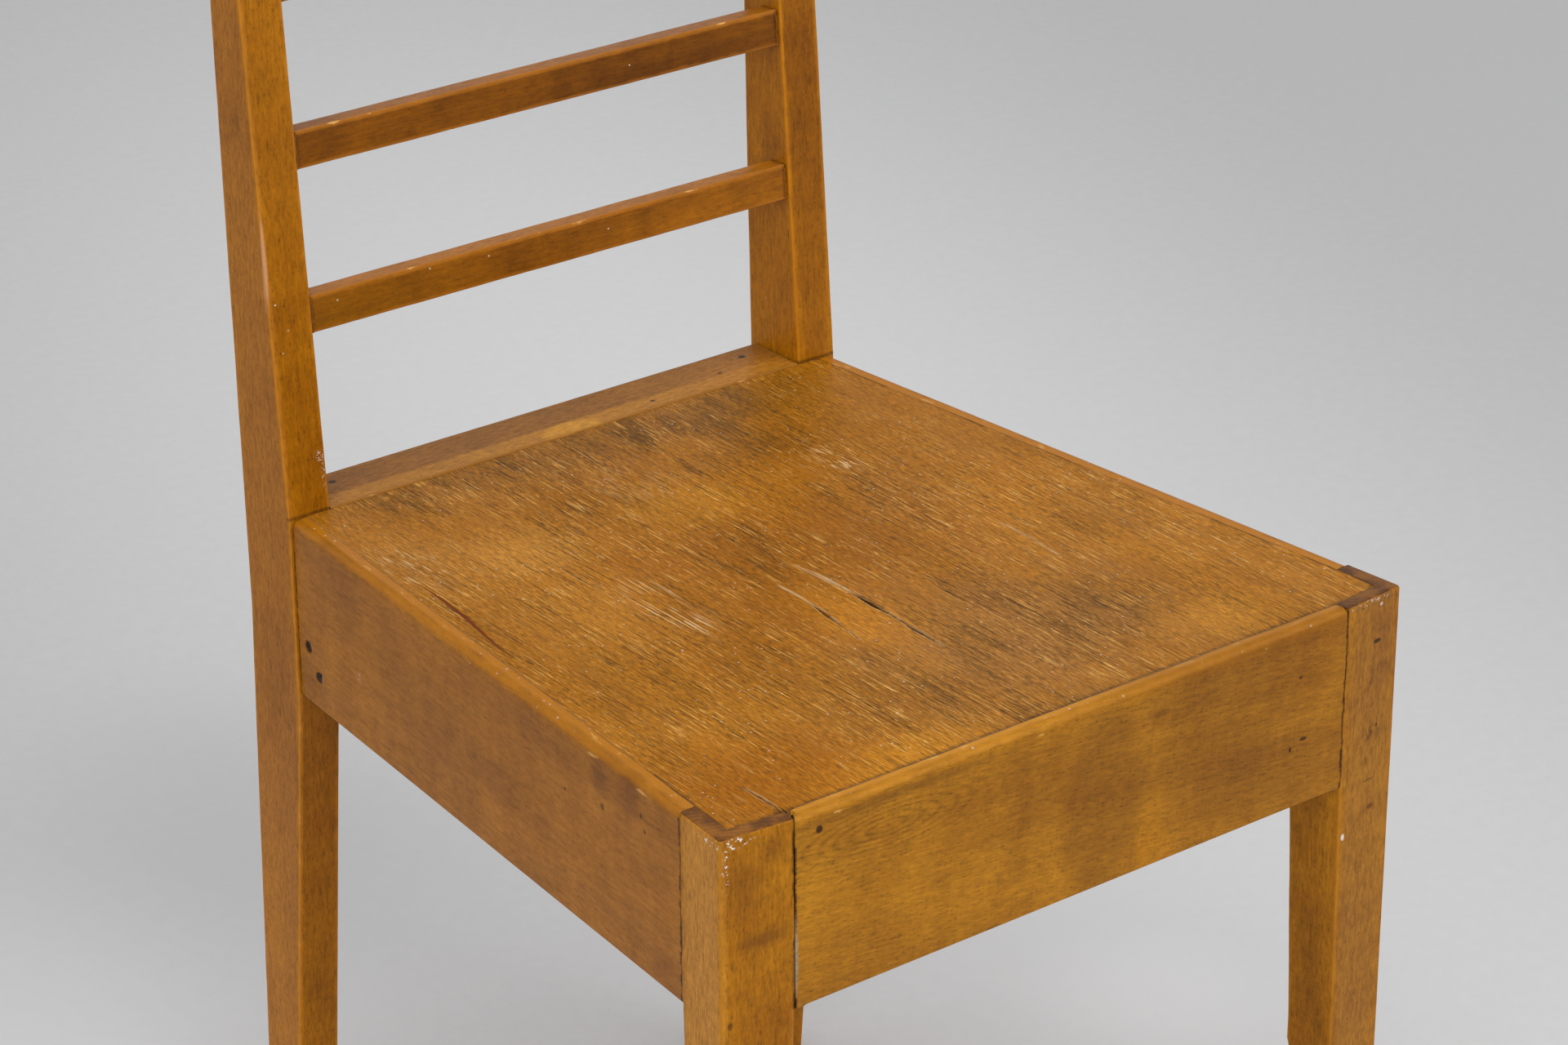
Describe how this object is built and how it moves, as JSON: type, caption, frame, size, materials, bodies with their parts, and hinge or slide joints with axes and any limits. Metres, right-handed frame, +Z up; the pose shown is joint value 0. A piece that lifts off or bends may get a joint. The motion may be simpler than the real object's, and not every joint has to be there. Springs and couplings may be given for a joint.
{
  "type": "chair",
  "caption": "Plain wooden waiting-room chair with tapered legs, a deep splayed seat frame, a let-in plywood seat and a raked back of horizontal slats.",
  "frame": {"origin": "on the floor, at the middle of the chair's box seen from above", "axes": "+Z up, the chair faces -Y, +X to the right seen from the front"},
  "size_m": [0.4168, 0.46, 0.8367],
  "materials": {
    "frame_wood": "amber varnish, satin, worn at the edges",
    "seat_plywood": "worn varnish with scratches along the grain",
    "inner_wood": "bare sawn wood",
    "steel": "dark, slightly rusted"
  },
  "bodies": {
    "root": {"left_front_leg": "frame_wood", "right_front_leg": "frame_wood", "left_rear_post": "frame_wood", "right_rear_post": "frame_wood", "front_apron": "frame_wood", "left_apron": "frame_wood", "right_apron": "frame_wood", "rear_apron": "frame_wood", "rear_cap": "frame_wood", "lower_back_slat": "frame_wood", "second_back_slat": "frame_wood", "third_back_slat": "frame_wood", "top_back_slat": "frame_wood", "seat_panel": "seat_plywood", "front_left_corner_block": "inner_wood", "front_right_corner_block": "inner_wood", "rear_left_corner_block": "inner_wood", "rear_right_corner_block": "inner_wood", "front_left_block_lower_screw": "steel", "front_left_block_upper_screw": "steel", "front_right_block_lower_screw": "steel", "front_right_block_upper_screw": "steel", "left_apron_lower_nail": "steel", "left_apron_upper_nail": "steel", "right_apron_lower_nail": "steel", "right_apron_upper_nail": "steel", "left_cap_nail": "steel", "right_cap_nail": "steel"}
  },
  "joints": []
}
